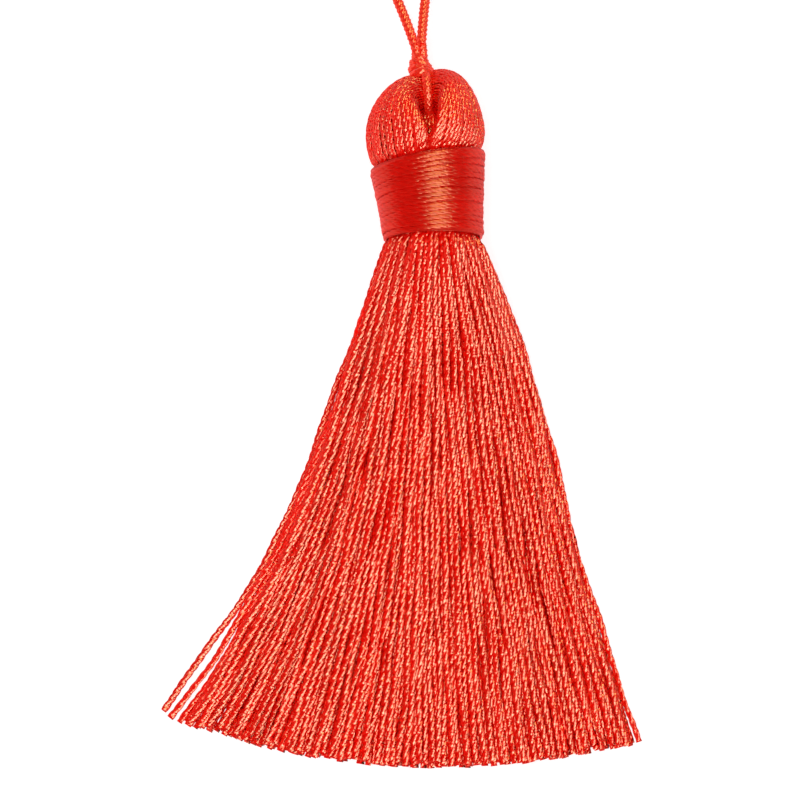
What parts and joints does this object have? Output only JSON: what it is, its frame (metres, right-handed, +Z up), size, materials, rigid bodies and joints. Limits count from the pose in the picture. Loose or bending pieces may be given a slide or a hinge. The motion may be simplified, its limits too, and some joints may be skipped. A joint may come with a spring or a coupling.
{
  "type": "yarn tassel",
  "caption": "Silky orange-red yarn tassel lying fanned out on a surface, with a folded round head, a wound thread band, a small knot and a thin hanging loop.",
  "frame": {"origin": "on the surface, at the small flat under the middle of the neck band", "axes": "+Z up from the surface the tassel lies on, +Y from the cut skirt towards the hanging cord"},
  "size_m": [0.054, 0.1254, 0.0126],
  "materials": {
    "yarn": "silky twisted yarn",
    "band_thread": "silky wound thread",
    "cord": "braided cord"
  },
  "bodies": {
    "root": {"yarn": "yarn", "neck_band": "band_thread", "tie_knot": "cord", "hanging_cord": "cord"}
  },
  "joints": []
}
